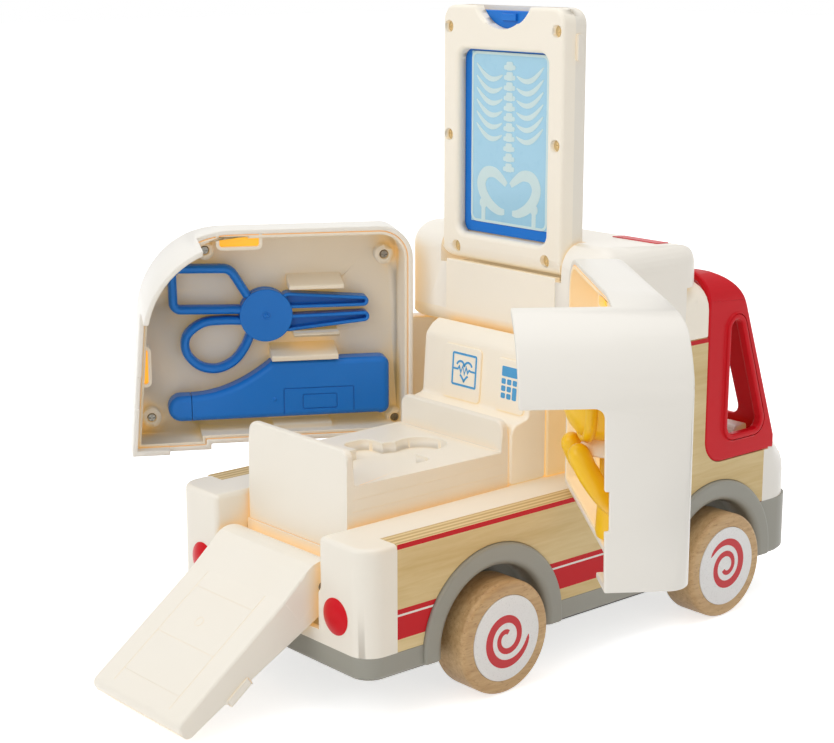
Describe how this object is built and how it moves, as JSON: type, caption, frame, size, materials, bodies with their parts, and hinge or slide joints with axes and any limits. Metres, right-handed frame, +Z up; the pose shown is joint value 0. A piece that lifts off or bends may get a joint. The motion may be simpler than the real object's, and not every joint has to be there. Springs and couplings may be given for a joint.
{
  "type": "toy ambulance",
  "caption": "Wooden-sided toy ambulance van with swinging rear shells, fold-up viewer panel, fold-down ramp, sliding bed, clip-in play tools and rolling wheels.",
  "frame": {"origin": "middle of the chassis underside, midway between the axles, 20 mm above the ground", "axes": "+X to the front of the vehicle, +Y to its left, +Z up"},
  "size_m": [0.3446, 0.3137, 0.284],
  "materials": {
    "cream_abs": "satin moulded ABS",
    "white_abs": "satin moulded ABS",
    "grey_abs": "fine matt moulded ABS",
    "birch_ply": "clear lacquered birch plywood with printed red stripes",
    "red_abs": "gloss moulded ABS",
    "clear_lamp": "gloss moulded ABS",
    "beech": "turned and lacquered beech",
    "printed_plate": "white plate with a printed red spiral",
    "steel": "bright drawn steel",
    "blue_abs": "satin moulded ABS",
    "film_print": "printed film",
    "yellow_abs": "gloss moulded vinyl",
    "figure_white": "gloss moulded vinyl"
  },
  "bodies": {
    "body": {"chassis": "grey_abs", "ply_left": "birch_ply", "ply_right": "birch_ply", "rear_body": "cream_abs", "tail_light_left": "red_abs", "tail_light_right": "red_abs", "console": "cream_abs", "monitor_pad": "cream_abs", "keypad_pad": "cream_abs", "tower": "cream_abs", "cap_base": "white_abs", "roof_cap": "white_abs", "roof_mark": "red_abs", "window_frame": "red_abs", "nose": "white_abs", "dash": "white_abs", "cab_back": "white_abs", "headlight_left": "clear_lamp", "headlight_right": "clear_lamp", "ramp_pin": "steel", "panel_pin": "steel", "left_hinge_pin": "steel", "right_hinge_pin": "steel"},
    "front_wheels": {"axle_front": "steel", "wheel_front_left": "beech", "wheel_front_right": "beech", "wheel_plate_front_left": "printed_plate", "wheel_plate_front_right": "printed_plate"},
    "rear_wheels": {"axle_rear": "steel", "wheel_rear_left": "beech", "wheel_rear_right": "beech", "wheel_plate_rear_left": "printed_plate", "wheel_plate_rear_right": "printed_plate"},
    "ramp": {"ramp_tread": "cream_abs", "ramp_underside": "cream_abs"},
    "bed_slider": {"bed": "cream_abs"},
    "viewer": {"panel_frame": "cream_abs", "panel_back": "cream_abs", "panel_screws": "steel"},
    "film_slider": {"film_holder": "blue_abs", "film": "film_print"},
    "left_door": {"left_shell": "white_abs", "left_liner": "cream_abs", "left_screws": "steel"},
    "right_door": {"right_shell": "white_abs", "right_liner": "cream_abs", "right_screws": "steel"},
    "scissors": {"scissor_arm": "blue_abs", "scissor_rivet": "blue_abs"},
    "scissor_half": {"scissor_lever": "blue_abs"},
    "thermometer_tool": {"thermometer": "blue_abs", "thermometer_tip": "blue_abs"},
    "figure": {"figure_body": "yellow_abs", "figure_head": "yellow_abs", "figure_collar": "figure_white"}
  },
  "joints": [
    {"name": "front_wheels_spin", "type": "hinge", "parent": "body", "child": "front_wheels", "pos_m": [0.07125, 0, 0.005], "axis": [0, 1, 0], "continuous": true},
    {"name": "rear_wheels_spin", "type": "hinge", "parent": "body", "child": "rear_wheels", "pos_m": [-0.07125, 0, 0.005], "axis": [0, 1, 0], "continuous": true},
    {"name": "ramp_fold", "type": "hinge", "parent": "body", "child": "ramp", "pos_m": [-0.137, 0, 0.0322], "axis": [0, 1, 0], "range_deg": [0, 126.8]},
    {"name": "bed_slide", "type": "slide", "parent": "body", "child": "bed_slider", "axis": [1, 0, 0], "range_m": [-0.085, 0]},
    {"name": "viewer_fold", "type": "hinge", "parent": "body", "child": "viewer", "pos_m": [0, 0, 0.1545], "axis": [0, -1, 0], "range_deg": [0, 90]},
    {"name": "film_slide", "type": "slide", "parent": "viewer", "child": "film_slider", "axis": [0, 0, -1], "range_m": [-0.085, 0]},
    {"name": "left_door_swing", "type": "hinge", "parent": "body", "child": "left_door", "pos_m": [0.003, 0.061, 0.085], "axis": [0, 0, 1], "range_deg": [-60, 30]},
    {"name": "right_door_swing", "type": "hinge", "parent": "body", "child": "right_door", "pos_m": [0.003, -0.061, 0.085], "axis": [0, 0, -1], "range_deg": [-36.3, 53.7]},
    {"name": "scissors_unclip", "type": "slide", "parent": "left_door", "child": "scissors", "axis": [0.5, 0.866, 0], "range_m": [-0.03, 0]},
    {"name": "scissor_pivot", "type": "hinge", "parent": "scissors", "child": "scissor_half", "pos_m": [-0.06913, 0.09687, 0.1186], "axis": [-0.5, -0.866, 0], "range_deg": [0, 4]},
    {"name": "thermometer_unclip", "type": "slide", "parent": "left_door", "child": "thermometer_tool", "axis": [0.5, 0.866, 0], "range_m": [-0.025, 0]},
    {"name": "figure_lift", "type": "slide", "parent": "right_door", "child": "figure", "axis": [0.8059, -0.592, 0], "range_m": [-0.03, 0]}
  ]
}
